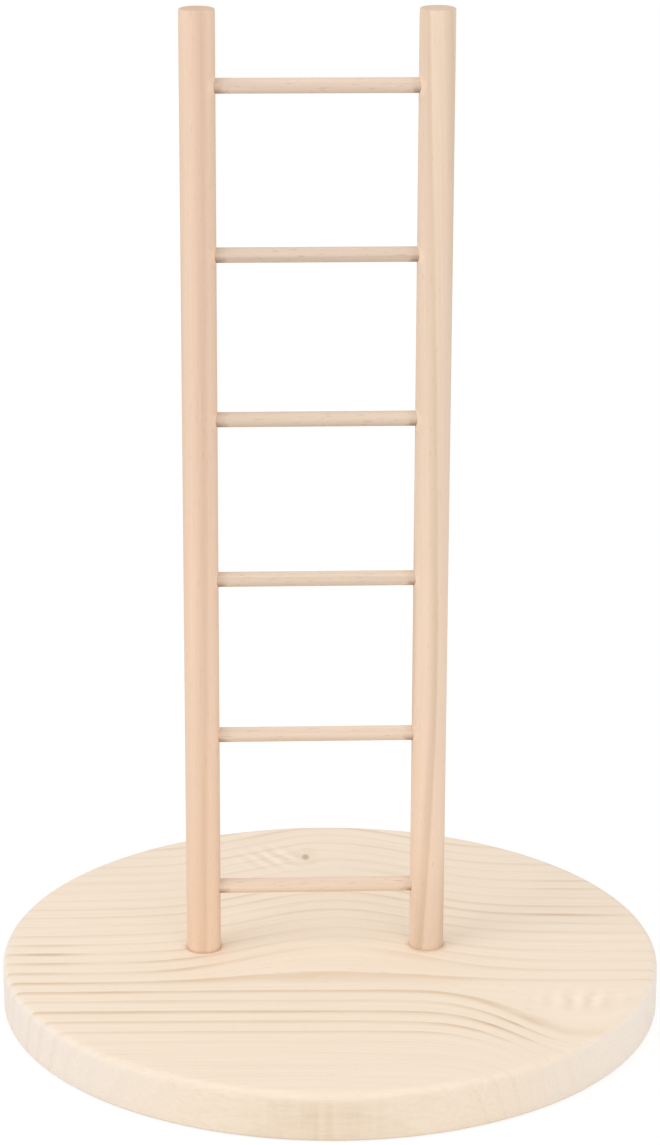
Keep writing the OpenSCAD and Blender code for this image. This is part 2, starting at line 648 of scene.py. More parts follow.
def grow(name: str, tree: Group, spec: object, values: dict[str, object]) -> bpy.types.Object:
    """Runs a Geometry Nodes tree once and keeps the result as a plain mesh.

    Args:
        name: The new piece's name.
        tree: The tree to run.
        spec: Fills the inputs that are named like its attributes and that the values leave out.
        values: The values of inputs, by name.

    Returns:
        The piece, with no modifier left on it.
    """
    seedling = bpy.data.meshes.new(f"{name}_seedling")
    piece = add_object(name, seedling)
    modifier = piece.modifiers.new(tree.data.name, "NODES")
    modifier.node_group = tree.data
    filled = tree.filled_by(spec) | values
    for socket in tree.data.interface.items_tree:
        if socket.in_out == "INPUT" and socket.name in filled:
            modifier[socket.identifier] = filled[socket.name]
    evaluated = piece.evaluated_get(bpy.context.evaluated_depsgraph_get())
    mesh = bpy.data.meshes.new_from_object(evaluated)
    piece.modifiers.remove(modifier)
    mesh.name = name
    piece.data = mesh
    bpy.data.meshes.remove(seedling)
    return piece


class WoodEffects:
    """The shader groups that the woods share, each built once.

    Lengths are in millimetres, and every vector has its X along the fibres.
    """

    def __init__(self) -> None:
        """Builds the groups."""
        self.sweep = self._grain_past_a_knot()
        self.pin_knot = self._pin_knot()
        self.rings = self._annual_rings()
        self.fibre = self._fibre()
        self.curl = self._curly_grain()
        self.end_grain = self._end_grain()
        self.joint_band = self._glue_stain()
        self.bare_wood = self._bare_wood()
        for group in vars(self).values():
            group.arrange()

    def _effect(self, name: str, inputs: dict[str, Default], outputs: dict[str, Kind]) -> Group:
        """Starts a shader group, whose first input is the grain vector."""
        return Group(name, TreeKind.SHADER, {"Vector": Kind.VECTOR} | inputs, outputs)

    def band_beside(self, tree: Tree, grain: Wire, gap: Wire, reach: float) -> Wire:
        """Places the band beside a joint that is a gap away, and gives its mask."""
        return tree.place(self.joint_band, {"Vector": grain, "Gap": gap, "Reach": reach})["Stain"]

    def _grain_past_a_knot(self) -> Group:
        """Builds the bend of grain that sweeps to one side round a knot just under the surface.

        Lines short of the edge stay straight. Lines beyond it are pushed away and squeezed on the knot's
        flanks, and the strip between, as wide as the band where nothing pushes, stretches to fill the room.

        Returns:
            The group.
        """
        inputs = {"Knot X": 0.0, "Edge Y": 0.0, "Side": 1.0, "Reach": 20.0, "Width": 30.0, "Band": 7.0}
        outputs = {"Vector": Kind.VECTOR, "Stretch": Kind.VALUE, "Squeeze": Kind.VALUE}
        tree = self._effect("Grain past a knot", inputs, outputs)
        x, y, z = tree.split(tree.given("Vector"))
        side, band, edge = tree.given("Side"), tree.given("Band"), tree.given("Edge Y")
        away = (x - tree.given("Knot X")) / tree.given("Width")
        share = tree.math("EXPONENT", -(away * away))
        reach = tree.given("Reach") * share
        room = band + reach
        beyond = (y - edge) * side
        inside = tree.math("MAXIMUM", beyond, 0.0)
        soft = band * 0.5
        bent = tree.math("SMOOTH_MAX", inside * band / room, inside - reach, soft)
        bent = bent - tree.math("SMOOTH_MAX", 0.0, -reach, soft)
        kept = tree.math("MINIMUM", beyond, 0.0)
        depth = inside / room
        opens, closes, flank = (0.35, 0.6), (0.8, 1.0), (0.7, 1.0)
        middle = tree.smooth(depth, *opens) * (1.0 - tree.smooth(depth, *closes))
        squeeze = tree.math("ABSOLUTE", away) * share * tree.smooth(depth, *flank)
        vector = tree.join(x, edge + side * (kept + bent), z)
        tree.give({"Vector": vector, "Stretch": middle * share, "Squeeze": squeeze})
        return tree

    def _pin_knot(self) -> Group:
        """Builds a small knot that the grain flows round on both sides, as water flows round a post.

        Drawn Out is how many times longer the knot is across the grain than along it.

        Returns:
            The group.
        """
        inputs = {"Middle": Kind.VECTOR, "Radius": 2.0, "Drawn Out": 1.0}
        outputs = {"Vector": Kind.VECTOR, "Core": Kind.VALUE, "Collar": Kind.VALUE}
        tree = self._effect("Pin knot", inputs, outputs)
        x, y, z = tree.split(tree.given("Vector"))
        knot_x, knot_y, _ = tree.split(tree.given("Middle"))
        radius = tree.given("Radius")
        along, across = x - knot_x, y - knot_y
        narrowed = across / tree.given("Drawn Out")
        square = along * along + narrowed * narrowed
        share = radius * radius / tree.math("MAXIMUM", square, radius * radius)
        distance = tree.math("SQRT", square) / radius
        core_edge, collar_edge, halo = (0.3, 0.8), (0.5, 0.9), (1.0, 2.2)
        collar = tree.smooth(distance, *collar_edge) * (1.0 - tree.smooth(distance, *halo))
        core = 1.0 - tree.smooth(distance, *core_edge)
        tree.give({"Vector": tree.join(x, y - across * share, z), "Core": core, "Collar": collar})
        return tree

    def _annual_rings(self) -> Group:
        """Builds the yearly rings: pale earlywood that darkens into latewood up to Late End, then stops.

        Returns:
            The group.
        """
        place = {"Pith": (0.0, 0.0, -50.0), "Ring Width": 4.0, "Phase": 0.0}
        bends = {"Wander": 1.0, "Wander Length": 150.0, "Uneven Years": 0.3, "Feather": 0.2}
        latewood = {"Late Share": 0.3, "Late End": 0.95}
        outputs = {"Late": Kind.VALUE, "Year": Kind.VALUE}
        tree = self._effect("Annual rings", place | bends | latewood, outputs)
        vector, width = tree.given("Vector"), tree.given("Ring Width")
        _, y, z = tree.split(vector)
        _, pith_y, pith_z = tree.split(tree.given("Pith"))
        reach = tree.length(y - pith_y, z - pith_z)
        length = tree.given("Wander Length")
        wander_breadth, years_per_run = 0.2, 3.0
        feather_length, feather_breadth = 9.0, 0.7
        wander = tree.grain_noise(vector, length, length * wander_breadth, 1.0) - 0.5
        feather = tree.grain_noise(vector, feather_length, feather_breadth, 1.0) - 0.5
        lean_years = tree.noise(tree.join(reach / (width * years_per_run), 0.0, 0.0), 1.0) - 0.5
        moved = wander * tree.given("Wander") * 2.0 + feather * tree.given("Feather")
        uneven = lean_years * tree.given("Uneven Years") * years_per_run
        years = (reach + moved) / width + uneven + tree.given("Phase")
        year = tree.math("FLOOR", years)
        season = years - year
        end = tree.given("Late End")
        rise = tree.smooth(season, end - tree.given("Late Share"), end)
        random_year = tree.wire("ShaderNodeTexWhiteNoise", {"W": year}, noise_dimensions="1D")
        tree.give({"Late": rise * (1.0 - tree.smooth(season, end, 1.0)), "Year": random_year})
        return tree

    def _fibre(self) -> Group:
        """Builds what runs along the fibres: broad streaks, fine lines and short resin canals.

        Returns:
            The group.
        """
        inputs = {"Streak Length": 60.0, "Streak Breadth": 1.2, "Canals": 0.5}
        outputs = {"Streak": Kind.VALUE, "Fine": Kind.VALUE, "Canal": Kind.VALUE}
        tree = self._effect("Wood fibre", inputs, outputs)
        vector, length, breadth = (tree.given(name) for name in ("Vector", "Streak Length", "Streak Breadth"))
        fine_share, canal_share = (0.3, 0.22), (0.07, 0.3)
        streak_edge, canal_edge = (0.3, 0.7), (0.72, 0.82)
        canal = tree.grain_noise(vector, length * canal_share[0], breadth * canal_share[1], 0.0)
        tree.give(
            {
                "Streak": tree.smooth(tree.grain_noise(vector, length, breadth, 3.0), *streak_edge),
                "Fine": tree.grain_noise(vector, length * fine_share[0], breadth * fine_share[1]),
                "Canal": tree.smooth(canal, *canal_edge) * tree.given("Canals"),
            }
        )
        return tree

    def _curly_grain(self) -> Group:
        """Builds the ripple that squeezed fibres show across the grain beside a knot, palest at Start.

        Returns:
            The group.
        """
        inputs = {"Start": 0.0, "Pitch": 5.0, "Slant": 0.0, "Waver": 4.0}
        tree = self._effect("Curly grain", inputs, {"Ripple": Kind.VALUE})
        x, y, _ = tree.split(tree.given("Vector"))
        per_waver = (0.08, 0.15, 0.15)
        waver = (tree.noise(tree.scaled(tree.given("Vector"), per_waver), 1.0) - 0.5) * tree.given("Waver")
        crest = (x + y * tree.given("Slant") - tree.given("Start")) / tree.given("Pitch")
        tree.give({"Ripple": tree.math("COSINE", crest * math.tau + waver)})
        return tree

    def _end_grain(self) -> Group:
        """Builds the mask of the surfaces that cut across the fibres, with their open pores.

        Returns:
            The group.
        """
        inputs = {"Normal": Kind.VECTOR, "Fibre": (1.0, 0.0, 0.0)}
        tree = self._effect("End grain", inputs, {"End": Kind.VALUE, "Pore": Kind.VALUE})
        pore_length, pore_breadth = 2.0, 0.4
        end_edge, pore_edge = (0.35, 0.95), (0.55, 0.75)
        across = tree.math("ABSOLUTE", tree.dot(tree.given("Normal"), tree.given("Fibre")))
        end = tree.smooth(across, *end_edge)
        pores = tree.grain_noise(tree.given("Vector"), pore_length, pore_breadth)
        tree.give({"End": end, "Pore": tree.smooth(pores, *pore_edge) * end})
        return tree

    def _glue_stain(self) -> Group:
        """Builds a soft band beside a joint, for painted contact shade and for the pale rim round each bore.

        Returns:
            The group.
        """
        tree = self._effect("Band beside a joint", {"Gap": 0.0, "Reach": 1.5}, {"Stain": Kind.VALUE})
        patches_per_mm, mean_noise = 0.5, 0.5
        patchy = tree.noise(tree.scaled(tree.given("Vector"), (patches_per_mm,) * 3), 1.0)
        reach = tree.given("Reach") * patchy * (1.0 / mean_noise)
        tree.give({"Stain": 1.0 - tree.smooth(tree.math("ABSOLUTE", tree.given("Gap")), 0.0, reach)})
        return tree

    def _bare_wood(self) -> Group:
        """Builds the colour, roughness and height of bare sanded wood from its masks.

        Returns:
            The group.
        """
        colours = dict.fromkeys(("Early Colour", "Late Colour", "Pore Colour", "End Colour"), Kind.COLOUR)
        masks = dict.fromkeys(("Late", "Streak", "Fine", "Canal", "End", "Pore", "Stain"), 0.0)
        plain = {"Fibre Depth": 0.2, "Tone": 1.0, "Roughness": 0.6}
        outputs = {"Colour": Kind.COLOUR, "Roughness": Kind.VALUE, "Height": Kind.VALUE}
        tree = Group("Bare sanded wood", TreeKind.SHADER, colours | masks | plain, outputs)
        late, fine, tone = tree.given("Late"), tree.given("Fine"), tree.given("Tone")
        streak_share, fine_share = 0.55, 0.45
        end_share, pore_share = 0.7, 0.3
        fine_roughness, late_smoothness, late_height = 0.12, 0.06, 0.5
        fibres = (tree.given("Streak") * streak_share + fine * fine_share) * tree.given("Fibre Depth")
        darkness = tree.math("MINIMUM", late + fibres, 1.0)
        colour = tree.blend(darkness, tree.given("Early Colour"), tree.given("Late Colour"))
        colour = tree.blend(tree.given("End") * end_share, colour, tree.given("End Colour"))
        hollow = tree.math("MAXIMUM", tree.given("Canal"), tree.given("Pore") * pore_share)
        # The Near Joint mask is painted contact shade, drawn in the pore colour.
        pores_and_shade = tree.math("MAXIMUM", hollow, tree.given("Stain"))
        colour = tree.blend(pores_and_shade, colour, tree.given("Pore Colour"))
        rough = tree.given("Roughness") + (fine - 0.5) * fine_roughness - late * late_smoothness
        tree.give(
            {
                "Colour": tree.scaled(colour, tree.join(tone, tone, tone)),
                "Roughness": rough,
                "Height": fine + late * late_height - hollow,
            }
        )
        return tree


@dataclass(frozen=True)
class Marks:
    """What a piece's own marks do to its wood, on top of the plain grain."""

    vector: Wire
    late: Feed = 1.0
    even: Feed = 0.0
    dark: Feed = 0.0
    canals: Feed = 1.0
    # Painted contact shade beside joints, which the bare wood draws in the pore colour.
    stain: Feed = 0.0
    tone: Feed = 1.0


@dataclass(frozen=True)
class Rings:
    """Where the annual rings lie in a piece. Lengths are in millimetres, from the piece's own middle.

    The whole part of the phase picks the run of good and poor years, and the rest shifts the rings.
    """

    pith: Triple
    ring_width: float
    phase: float = 0.0
    wander: float = 1.0
    wander_length: float = 150.0
    uneven_years: float = 0.3
    feather: float = 0.5
    late_share: float = 0.35
    late_end: float = 0.94


@dataclass(frozen=True)
class WoodFinish:
    """Bare sanded wood. Kinds of piece with marks of their own add them in `marks`."""

    name: str
    early_colour: Colour
    late_colour: Colour
    pore_colour: Colour
    end_colour: Colour
    rings: Rings
    late_strength: float = 0.4
    year_spread: float = 0.4
    axis: FibreAxis = FibreAxis.ALONG_X
    lean: Triple = (0.0, 0.0, 0.0)
    streak_length: float = 60.0
    streak_breadth: float = 1.2
    fibre_depth: float = 0.2
    canals: float = 0.35
    roughness: float = 0.62
    relief: float = 0.06
    specular: float = 0.3

    def material(self, effects: WoodEffects, middle: Vector) -> bpy.types.Material:
        """Builds the material.

        Args:
            effects: The shader groups.
            middle: The piece's middle in the row frame, in metres.

        Returns:
            The material.
        """
        made = bpy.data.materials.new(self.name)
        made.diffuse_color = self.early_colour
        tree = cleared_tree(made)
        coordinates = tree.node("ShaderNodeTexCoord")
        grain = self._grain_vector(tree, tree.out(coordinates, "Object"), middle)
        marks = self.marks(tree, effects, grain)
        rings = tree.place(effects.rings, {"Vector": marks.vector}, self.rings)
        canals = marks.canals * self.canals
        fibre = tree.place(effects.fibre, {"Vector": marks.vector, "Canals": canals}, self)
        facing = {"Normal": tree.out(coordinates, "Normal"), "Fibre": self.axis.direction}
        ends = tree.place(effects.end_grain, {"Vector": grain} | facing)
        poor = (1.0 - rings["Year"]) * (1.0 - marks.even) * self.year_spread
        strength = (1.0 - poor) * self.late_strength * marks.late
        late = rings["Late"] * strength + marks.dark
        masks = {"Late": late, "Stain": marks.stain, "Tone": marks.tone} | fibre | ends
        wood = tree.place(effects.bare_wood, masks, self)
        relief = {"Strength": 1.0, "Distance": self.relief * MM, "Height": wood["Height"]}
        surface = {
            "Base Color": wood["Colour"],
            "Roughness": wood["Roughness"],
            "Normal": tree.wire("ShaderNodeBump", relief),
            "Specular IOR Level": self.specular,
        }
        shader = tree.wire("ShaderNodeBsdfPrincipled", surface)
        tree.node("ShaderNodeOutputMaterial", {"Surface": shader})
        tree.arrange()
        return made

    def marks(self, tree: Tree, effects: WoodEffects, grain: Wire) -> Marks:
        """Leaves the grain plain."""
        return Marks(grain)

    def _grain_vector(self, tree: Tree, place: Wire, middle: Vector) -> Wire:
        """Turns a place in the row frame into the grain vector.

        Args:
            tree: The material's tree.
            place: The place, in metres.
            middle: The piece's middle, in metres.

        Returns:
            The place in millimetres from the middle, with X along the fibres.
        """
        turn = Euler([math.radians(a + b) for a, b in zip(self.axis.value, self.lean)])
        shift = -(turn.to_matrix() @ (middle * PER_METRE))
        feeds = {"Vector": place, "Location": tuple(shift), "Rotation": tuple(turn)}
        feeds["Scale"] = (PER_METRE,) * 3
        return tree.wire("ShaderNodeMapping", feeds, vector_type="POINT")


@dataclass(frozen=True)
class Sweep:
    """A knot under the surface and the grain that sweeps past it on one side, in millimetres.

    The grain beyond the edge is pushed by up to the reach, and the side is the sign of Y there.
    """

    knot_x: float
    edge_y: float
    side: float
    reach: float
    width: float
    band: float


@dataclass(frozen=True)
class PinKnot:
    """A small knot in the surface, in millimetres, drawn out across the grain."""

    middle: Triple
    radius: float
    drawn_out: float


@dataclass(frozen=True)
class Curl:
    """A patch of rippled grain beside a knot. The patch's strength is the change of tone at its middle."""

    patch: Patch
    start: float
    pitch: float
    slant: float


@dataclass(frozen=True)
class BoardFinish(WoodFinish):
    """The board's pine, with the sweeps and knots of its own. Places are in millimetres on its top.

    An accent is where the rings show more, or less where its strength is below 0. The stretch fades them
    and the squeeze brings them out. In front and at the back they keep only a share of their strength.
    """

    sweeps: tuple[Sweep, ...] = (
        Sweep(knot_x=87.0, edge_y=-32.0, side=-1.0, reach=38.0, width=30.0, band=6.5),
        Sweep(knot_x=2.0, edge_y=-32.0, side=1.0, reach=24.0, width=42.0, band=9.0),
    )
    curls: tuple[Curl, ...] = (
        Curl(Patch((88.0, -47.0), (13.0, 7.0), 0.08), start=79.6, pitch=7.4, slant=-0.15),
        Curl(Patch((-20.0, 87.0), (11.0, 10.0), 0.09), start=40.3, pitch=8.0, slant=0.7),
    )
    pin_knot: PinKnot = PinKnot((-7.5, 87.5, 0.0), radius=2.6, drawn_out=1.9)
    pin_depth: Span = (1.0, 6.0)
    core_darkness: float = 0.5
    core_shade: float = 0.25
    collar_darkness: float = 0.12
    pale_knot: Patch = Patch((97.0, -50.0), (24.0, 32.0), 0.9)
    # A darker patch low on the front of the rim, with faint upright lines.
    front_rim_patch: Patch = Patch((-5.0, -120.0), (24.0, 30.0), 0.45)
    front_rim_span: Span = (-4.5, -1.5)
    front_rim_lines: Triple = (0.35, 0.02, 0.03)
    accents: tuple[Patch, ...] = (
        Patch((-58.0, -10.0), (15.0, 9.0), 2.9),
        Patch((-104.0, -6.0), (12.0, 12.0), 5.0),
        Patch((89.0, 54.0), (14.0, 8.0), 3.6),
        Patch((90.0, 27.0), (16.0, 7.0), 3.8),
        Patch((50.0, 30.0), (12.0, 6.0), 1.8),
        Patch((-70.0, -46.0), (22.0, 13.0), 0.8),
        Patch((0.0, 40.0), (36.0, 8.0), 0.8),
        Patch((-5.0, 16.0), (32.0, 14.0), -0.6),
        Patch((62.0, -28.0), (14.0, 6.0), -0.5),
        Patch((0.0, -44.0), (30.0, 12.0), 0.25),
    )
    even_years: Patch = Patch((60.0, -62.0), (15.0, 17.0))
    # Painted light that lifts the ladder's shade off the middle of the board.
    painted_light_middle: Patch = Patch((0.0, 12.0), (58.0, 38.0), 0.045)
    knot_paling: float = 0.01
    marked_paling: float = 0.01
    stretch_fade: float = 0.85
    squeeze_gain: float = 1.6
    uneven_length: float = 45.0
    uneven_breadth: float = 9.0
    uneven_spread: float = 1.6
    uneven_least: float = 0.2
    front_edge: Span = (-84.0, -70.0)
    front_share: float = 0.12
    back_edge: Span = (-23.0, -11.0)
    back_share: float = 0.5
    # Painted contact shade round the uprights' feet.
    feet: tuple[Pair, ...] = ()
    foot_radius: float = 6.0
    foot_reach: float = 2.2
    foot_stain: float = 0.24

    def marks(self, tree: Tree, effects: WoodEffects, grain: Wire) -> Marks:
        """Bends the grain round the board's knots, darkens its marked part and paints contact shade round the
        feet.

        Args:
            tree: The material's tree.
            effects: The shader groups.
            grain: The grain vector, in millimetres from the middle of the board's top.

        Returns:
            The marks.
        """
        x, y, z = tree.split(grain)
        vector, calm, squeeze = grain, 1.0, 0.0
        for sweep in self.sweeps:
            swept = tree.place(effects.sweep, {"Vector": vector}, sweep)
            vector = swept["Vector"]
            calm = (1.0 - swept["Stretch"] * self.stretch_fade) * calm
            squeeze = swept["Squeeze"] + squeeze
        pin = tree.place(effects.pin_knot, {"Vector": grain}, self.pin_knot)
        _, past_pin, _ = tree.split(pin["Vector"])
        swept_x, swept_y, swept_z = tree.split(vector)
        knot = tree.mound(x, y, self.pale_knot)
        near_top = 1.0 - tree.smooth(tree.math("ABSOLUTE", z), *self.pin_depth)
        core = pin["Core"] * near_top
        pin_dark = core * self.core_darkness + pin["Collar"] * near_top * self.collar_darkness
        uneven = tree.grain_noise(grain, self.uneven_length, self.uneven_breadth, 1.0)
        patchy = uneven * self.uneven_spread + self.uneven_least
        front = 1.0 - tree.smooth(y, *self.front_edge)
        back = tree.smooth(y, *self.back_edge)
        marked = 1.0 - front * (1.0 - self.front_share) - back * (1.0 - self.back_share)
        shown = squeeze * self.squeeze_gain + 1.0
        for accent in self.accents:
            shown = tree.mound(x, y, accent) * accent.strength + shown
        # Painted light in the middle of the board, lifting the ladder's shade.
        painted_light_middle = tree.mound(x, y, self.painted_light_middle) * self.painted_light_middle.strength
        paler = painted_light_middle + knot * self.knot_paling + marked * self.marked_paling
        return Marks(
            tree.join(swept_x, swept_y + past_pin - y, swept_z),
            late=marked * calm * patchy * shown * (1.0 - knot * self.pale_knot.strength),
            even=tree.mound(x, y, self.even_years),
            dark=pin_dark + self._front_rim_patch(tree, grain) * self.front_rim_patch.strength,
            canals=1.0 - knot,
            # Painted contact shade round the feet.
            stain=self._foot_stain(tree, effects, grain) * self.foot_stain,
            tone=self._ripples(tree, effects, grain) + paler - core * self.core_shade + 1.0,
        )

    def _ripples(self, tree: Tree, effects: WoodEffects, grain: Wire) -> Feed:
        """Gives the change of tone that the curly grain makes.

        Args:
            tree: The material's tree.
            effects: The shader groups.
            grain: The grain vector.

        Returns:
            The change, about 0 away from the curls.
        """
        x, y, _ = tree.split(grain)
        total: Feed = 0.0
        for curl in self.curls:
            ripple = tree.place(effects.curl, {"Vector": grain}, curl)["Ripple"]
            total = ripple * tree.mound(x, y, curl.patch) * curl.patch.strength + total
        return total

    def _front_rim_patch(self, tree: Tree, grain: Wire) -> Wire:
        """Gives the mask of the darker patch on the front of the rim, with its faint upright lines.

        Args:
            tree: The material's tree.
            grain: The grain vector.

        Returns:
            A mask from 0 to 1.
        """
        x, y, z = tree.split(grain)
        rim = 1.0 - tree.smooth(z, *self.front_rim_span)
        upright_lines = tree.noise(tree.scaled(grain, self.front_rim_lines))
        return tree.mound(x, y, self.front_rim_patch) * rim * upright_lines

    def _foot_stain(self, tree: Tree, effects: WoodEffects, grain: Wire) -> Feed:
        """Gives the mask of the painted contact shade round the uprights' feet.

        Args:
            tree: The material's tree.
            effects: The shader groups.
            grain: The grain vector.

        Returns:
            A mask from 0 to 1.
        """
        x, y, _ = tree.split(grain)
        total: Feed = 0.0
        for foot_x, foot_y in self.feet:
            gap = tree.length(x - foot_x, y - foot_y) - self.foot_radius
            total = effects.band_beside(tree, grain, gap, self.foot_reach) + total
        return total


@dataclass(frozen=True)
class Joints:
    """Where an upright's joints lie along its fibres, in millimetres from its own middle."""

    top: float = 0.0
    foot: float = 0.0
    first_bore: float = 0.0
    bore_pitch: float = 1.0
    bore_radius: float = 1.0


@dataclass(frozen=True)
class UprightFinish(WoodFinish):
    """An upright's pine, bent as it grew, with painted shade at its foot and a pale rim round each bore.

    The bend is how far the grain moves aside per length away from its middle, which is in millimetres
    along the fibres, as its softness is. The inner side is the sign of X on it. The end on top is rubbed
    pale towards the front. Spans are in millimetres: inwards from the upright's middle, up from it, up
    from the foot, up from the top, and back from the middle.
    """

    bend: float = 0.006
    bend_middle: float = 0.0
    bend_softness: float = 60.0
    upper_share: float = 1.0
    # Painted shade: broad and low on the outer side, and a contact shade at the foot.
    foot_shade: float = 0.0
    foot_stain: float = 0.35
    foot_reach: float = 1.6
    rim_reach: float = 2.6
    rim_paling: float = 0.12
    low_paling: float = 0.05
    rubbed: float = 0.08
    joints: Joints = Joints()
    inner_side: float = 1.0
    inner_span: Span = (1.0, 3.5)
    low_span: Span = (-60.0, 60.0)
    shade_span: Span = (8.0, 40.0)
    top_span: Span = (-0.5, -0.1)
    rubbed_span: Span = (-4.0, 1.5)

    def marks(self, tree: Tree, effects: WoodEffects, grain: Wire) -> Marks:
        """Bends the grain, weakens it upwards, paints shade at the foot and bares the bores' rims.

        Args:
            tree: The material's tree.
            effects: The shader groups.
            grain: The grain vector, in millimetres from the upright's middle.

        Returns:
            The marks.
        """
        along, y, z = tree.split(grain)
        arm = tree.length(along - self.bend_middle, self.bend_softness)
        bent = tree.join(along, y, z - (arm - self.bend_softness) * self.bend)
        from_bore = tree.past_nearest(along - self.joints.first_bore, self.joints.bore_pitch)
        from_rim = tree.length(from_bore, y) - self.joints.bore_radius
        from_foot = along - self.joints.foot
        inner = tree.smooth(z * -self.inner_side, *self.inner_span)
        rim = effects.band_beside(tree, grain, from_rim, self.rim_reach)
        # Painted contact shade where the upright meets the board.
        foot = effects.band_beside(tree, grain, from_foot, self.foot_reach)
        low = 1.0 - tree.smooth(along, *self.low_span)
        # Painted shade, darker towards the foot on the outer side.
        shade = (1.0 - tree.smooth(from_foot, *self.shade_span)) * (1.0 - inner) * self.foot_shade
        on_top = tree.smooth(along - self.joints.top, *self.top_span)
        rubbed = on_top * (1.0 - tree.smooth(y, *self.rubbed_span)) * self.rubbed
        return Marks(
            bent,
            late=low * (1.0 - self.upper_share) + self.upper_share,
            stain=foot * self.foot_stain,
            tone=rim * inner * self.rim_paling + low * self.low_paling + rubbed - shade + 1.0,
        )


@dataclass(frozen=True)
class RungFinish(WoodFinish):
    """The rungs' wood. Each rung has its own tone, and painted contact shade darkens its ends, most
    underneath.

    Half the span between the uprights and the rungs' pitch are in millimetres. A painted highlight pales the
    upper half, and the tone also rises by the top light gain for each millimetre of height, as painted light
    from above. Spans are in millimetres up from a rung's middle.
    """

    darkest: float = 0.835
    tone_spread: float = 0.21
    # Painted highlight that pales the rungs' tops.
    rubbed: float = 0.04
    rubbed_span: Span = (-0.2, 1.2)
    top_light_gain: float = 0.012
    half_span: float = 35.0
    pitch: float = 60.0
    # Painted contact shade at the rungs' ends, strongest underneath.
    end_shade_reach: float = 4.5
    underside_span: Span = (-2.2, 0.6)
    underside_shade: float = 0.6
    end_shade_all_round: float = 0.15

    def marks(self, tree: Tree, effects: WoodEffects, grain: Wire) -> Marks:
        """Gives each rung its tone and paints shade at its ends and a highlight along its top.

        Args:
            tree: The material's tree.
            effects: The shader groups.
            grain: The grain vector, in millimetres from the lowest rung's middle.

        Returns:
            The marks.
        """
        drawn = tree.wire("ShaderNodeAttribute", output="Fac", attribute_name=TONE_ATTRIBUTE)
        along, _, z = tree.split(grain)
        height = tree.past_nearest(z, self.pitch)
        # Painted contact shade at the ends, strongest underneath.
        underneath = 1.0 - tree.smooth(height, *self.underside_span)
        # Painted highlight: the upper half is paler, and the tone rises with height as if lit from above.
        rubbed = tree.smooth(height, *self.rubbed_span) * self.rubbed
        gap = tree.math("ABSOLUTE", along) - self.half_span
        joint_band = effects.band_beside(tree, grain, gap, self.end_shade_reach)
        return Marks(
            grain,
            stain=joint_band * (underneath * self.underside_shade + self.end_shade_all_round),
            tone=drawn * self.tone_spread + rubbed + height * self.top_light_gain + self.darkest,
        )


BOARD_RINGS = Rings(
    (0.0, -220.0, -60.0), ring_width=7.95, phase=-975.29, wander=1.2, uneven_years=0.1, late_share=0.4
)
BOARD_PINE = BoardFinish(
    name="Board pine",
    early_colour=srgb(247, 231, 211),
    late_colour=srgb(214, 184, 150),
    pore_colour=srgb(176, 136, 100),
    end_colour=srgb(250, 240, 231),
    rings=BOARD_RINGS,
    late_strength=0.52,
    year_spread=0.7,
    lean=(0.0, 0.0, 1.0),
    canals=0.15,
)
LEFT_RINGS = Rings(
    pith=(0.0, -12.0, 44.0),
    ring_width=8.0,
    phase=-0.02,
    wander=0.6,
    wander_length=220.0,
    uneven_years=0.0,
    late_share=0.6,
    late_end=0.72,
)
LEFT_PINE = UprightFinish(
    name="Upright pine left",
    early_colour=srgb(237, 208, 184),
    late_colour=srgb(208, 174, 145),
    pore_colour=srgb(184, 142, 110),
    end_colour=srgb(208, 176, 150),
    rings=LEFT_RINGS,
    late_strength=0.5,
    axis=FibreAxis.ALONG_Z,
    lean=(0.0, -0.3, 0.3),
    canals=0.2,
)
RIGHT_RINGS = replace(
    LEFT_RINGS,
    pith=(0.0, -4.0, 46.0),
    ring_width=8.2,
    phase=0.886,
    wander_length=180.0,
    late_share=0.45,
    late_end=0.88,
)
RIGHT_PINE = replace(
    LEFT_PINE,
    name="Upright pine right",
    early_colour=srgb(237, 212, 190),
    late_colour=srgb(203, 177, 147),
    end_colour=srgb(214, 186, 164),
    rings=RIGHT_RINGS,
    late_strength=0.52,
    lean=(0.0, -1.0, 0.3),
    bend=0.05,
    bend_middle=-70.0,
    upper_share=0.7,
    foot_shade=0.08,
    foot_stain=0.12,
    rubbed=0.03,
    inner_side=-1.0,
)
RUNG_WOOD = RungFinish(
    name="Rung wood",
    early_colour=srgb(236, 215, 195),
    late_colour=srgb(200, 172, 148),
    pore_colour=srgb(150, 112, 84),
    end_colour=srgb(214, 186, 160),
    rings=Rings(pith=(0.0, -30.0, 40.0), ring_width=6.0, wander=0.8),
    late_strength=0.25,
    fibre_depth=0.3,
)


@dataclass
class Board:
    """The round board that the ladder stands in."""

    top_ease: float = 2.5 * MM
    foot_ease: float = 1.25 * MM
    sanding: float = 0.25 * MM
    socket_clearance: float = 0.1 * MM
    sides: int = 256
    node: str = "base"
    finish: BoardFinish = BOARD_PINE

    def build(self, shapes: Shapes, effects: WoodEffects) -> bpy.types.Object:
        """Builds the board in place of its solid.

        Args:
            shapes: The Geometry Nodes trees.
            effects: The shader groups.

        Returns:
            The finished board.
        """
        low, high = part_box(self.node)
        feet = [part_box(side.rail) for side in Side]
        left, right = ((foot_low + foot_high) / 2 for foot_low, foot_high in feet)
        foot_radius = (feet[0][1].x - feet[0][0].x) / 2
        feet_on_top = tuple((foot.x * PER_METRE, foot.y * PER_METRE) for foot in (left, right))
        finish = replace(self.finish, feet=feet_on_top, foot_radius=foot_radius * PER_METRE)
        values = {
            "Radius": (high.x - low.x) / 2,
            "Thickness": high.z - low.z,
            "Socket Radius": foot_radius + self.socket_clearance,
            "First Socket": (left.x, left.y, feet[0][0].z),
            "Socket Spacing": right.x - left.x,
            "Material": finish.material(effects, Vector((0.0, 0.0, high.z))),
        }
        board = grow("board", shapes.board, self, values)
        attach(board, ROOT_BODY)
        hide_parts(self.node)
        return board


